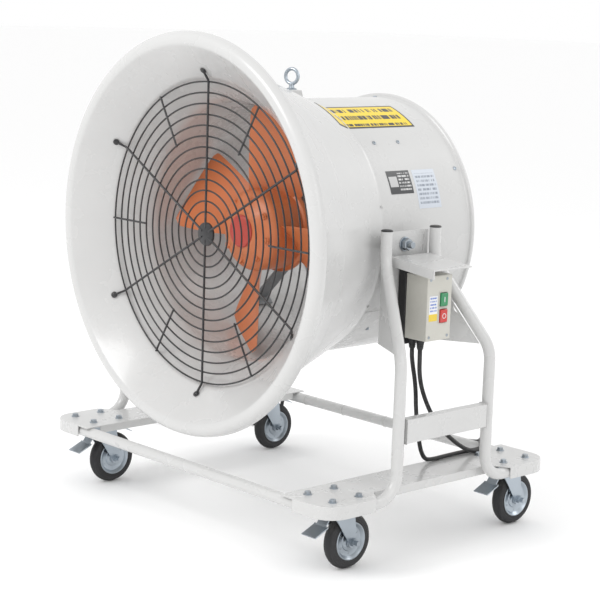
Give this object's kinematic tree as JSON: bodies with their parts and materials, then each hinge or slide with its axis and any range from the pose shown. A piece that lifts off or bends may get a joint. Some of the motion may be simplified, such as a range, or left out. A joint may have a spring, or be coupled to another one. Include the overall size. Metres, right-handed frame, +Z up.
{
  "type": "axial air mover",
  "caption": "Mobile axial fan: bell-mouthed duct with wire guard and impeller, tilting between the uprights of a tubular trolley on braked swivel casters.",
  "frame": {"origin": "on the floor under the middle of the object's footprint, its cords left out", "axes": "+Z up, the bell mouth faces -Y, the switch box is on the +X side"},
  "size_m": [1.3817, 0.843, 1.1781],
  "materials": {
    "white_paint": "satin powder coat",
    "black_wire": "black coated wire",
    "orange_paint": "satin orange paint",
    "red_paint": "satin red paint",
    "grey_paint": "grey enamel",
    "zinc_plate": "bright zinc plate",
    "black_plastic": "fine grained",
    "pale_case": "moulded",
    "green_plastic": "moulded",
    "red_plastic": "moulded",
    "tyre": "black rubber",
    "cord_rubber": "matt black sheath"
  },
  "bodies": {
    "trolley": {"base_plate_right": "white_paint", "tie_bar_right": "white_paint", "side_bracket_right": "white_paint", "pivot_bolt_right": "zinc_plate", "base_plate_left": "white_paint", "tie_bar_left": "white_paint", "side_bracket_left": "white_paint", "pivot_bolt_left": "zinc_plate", "frame_tube_front": "white_paint", "tube_cap_front_right": "black_plastic", "tube_cap_front_left": "black_plastic", "frame_tube_rear": "white_paint", "tube_cap_rear_right": "black_plastic", "tube_cap_rear_left": "black_plastic", "switch_bracket": "white_paint", "switch_box_base": "black_plastic", "switch_block": "black_plastic", "switch_box_cover": "pale_case", "lead_gland": "black_plastic", "supply_gland": "black_plastic", "lead_grommet": "black_plastic", "plug": "black_plastic", "supply_cord": "cord_rubber", "motor_lead": "cord_rubber", "cord_coil": "cord_rubber", "caster_plate_front_right": "zinc_plate", "caster_plate_front_left": "zinc_plate", "caster_plate_rear_right": "zinc_plate", "caster_plate_rear_left": "zinc_plate"},
    "head": {"bell_mouth": "white_paint", "outer_cone": "white_paint", "duct_shell": "white_paint", "front_guard": "black_wire", "rear_guard": "black_wire", "motor_body": "grey_paint", "motor_mount": "grey_paint", "lifting_eye": "zinc_plate", "pivot_boss_right": "white_paint", "pivot_boss_left": "white_paint"},
    "impeller_rotor": {"impeller": "orange_paint", "hub_cap": "red_paint", "motor_shaft": "zinc_plate"},
    "yoke_front_right": {"caster_fork_front_right": "zinc_plate"},
    "wheel_front_right": {"caster_rim_front_right": "zinc_plate", "caster_tyre_front_right": "tyre"},
    "pedal_front_right": {"brake_pedal_front_right": "zinc_plate"},
    "yoke_front_left": {"caster_fork_front_left": "zinc_plate"},
    "wheel_front_left": {"caster_rim_front_left": "zinc_plate", "caster_tyre_front_left": "tyre"},
    "pedal_front_left": {"brake_pedal_front_left": "zinc_plate"},
    "yoke_rear_right": {"caster_fork_rear_right": "zinc_plate"},
    "wheel_rear_right": {"caster_rim_rear_right": "zinc_plate", "caster_tyre_rear_right": "tyre"},
    "pedal_rear_right": {"brake_pedal_rear_right": "zinc_plate"},
    "yoke_rear_left": {"caster_fork_rear_left": "zinc_plate"},
    "wheel_rear_left": {"caster_rim_rear_left": "zinc_plate", "caster_tyre_rear_left": "tyre"},
    "pedal_rear_left": {"brake_pedal_rear_left": "zinc_plate"},
    "on_button": {"on_button": "green_plastic"},
    "off_button": {"off_button": "red_plastic"}
  },
  "joints": [
    {"name": "head_tilt", "type": "hinge", "parent": "trolley", "child": "head", "pos_m": [0, -0.0081, 0.7076], "axis": [-1, 0, 0], "range_deg": [-15, 45]},
    {"name": "impeller_spin", "type": "hinge", "parent": "head", "child": "impeller_rotor", "pos_m": [0, -0.1, 0.7076], "axis": [0, 1, 0], "continuous": true},
    {"name": "swivel_front_right", "type": "hinge", "parent": "trolley", "child": "yoke_front_right", "pos_m": [0.443, -0.2916, 0.165], "axis": [0, 0, 1], "continuous": true},
    {"name": "roll_front_right", "type": "hinge", "parent": "yoke_front_right", "child": "wheel_front_right", "pos_m": [0.443, -0.2454, 0.065], "axis": [1, 0, 0], "continuous": true},
    {"name": "brake_front_right", "type": "hinge", "parent": "yoke_front_right", "child": "pedal_front_right", "pos_m": [0.443, -0.2636, 0.142], "axis": [1, 0, 0], "range_deg": [0, 7]},
    {"name": "swivel_front_left", "type": "hinge", "parent": "trolley", "child": "yoke_front_left", "pos_m": [-0.443, -0.2916, 0.165], "axis": [0, 0, 1], "continuous": true},
    {"name": "roll_front_left", "type": "hinge", "parent": "yoke_front_left", "child": "wheel_front_left", "pos_m": [-0.443, -0.2454, 0.065], "axis": [1, 0, 0], "continuous": true},
    {"name": "brake_front_left", "type": "hinge", "parent": "yoke_front_left", "child": "pedal_front_left", "pos_m": [-0.443, -0.2636, 0.142], "axis": [1, 0, 0], "range_deg": [0, 7]},
    {"name": "swivel_rear_right", "type": "hinge", "parent": "trolley", "child": "yoke_rear_right", "pos_m": [0.443, 0.2754, 0.165], "axis": [0, 0, 1], "continuous": true},
    {"name": "roll_rear_right", "type": "hinge", "parent": "yoke_rear_right", "child": "wheel_rear_right", "pos_m": [0.443, 0.3216, 0.065], "axis": [1, 0, 0], "continuous": true},
    {"name": "brake_rear_right", "type": "hinge", "parent": "yoke_rear_right", "child": "pedal_rear_right", "pos_m": [0.443, 0.3034, 0.142], "axis": [1, 0, 0], "range_deg": [0, 7]},
    {"name": "swivel_rear_left", "type": "hinge", "parent": "trolley", "child": "yoke_rear_left", "pos_m": [-0.443, 0.2754, 0.165], "axis": [0, 0, 1], "continuous": true},
    {"name": "roll_rear_left", "type": "hinge", "parent": "yoke_rear_left", "child": "wheel_rear_left", "pos_m": [-0.443, 0.3216, 0.065], "axis": [1, 0, 0], "continuous": true},
    {"name": "brake_rear_left", "type": "hinge", "parent": "yoke_rear_left", "child": "pedal_rear_left", "pos_m": [-0.443, 0.3034, 0.142], "axis": [1, 0, 0], "range_deg": [0, 7]},
    {"name": "on_button_press", "type": "slide", "parent": "trolley", "child": "on_button", "axis": [-1, 0, 0], "range_m": [0, 0.003], "stiffness_N_per_m": 300},
    {"name": "off_button_press", "type": "slide", "parent": "trolley", "child": "off_button", "axis": [-1, 0, 0], "range_m": [0, 0.003], "stiffness_N_per_m": 300}
  ]
}
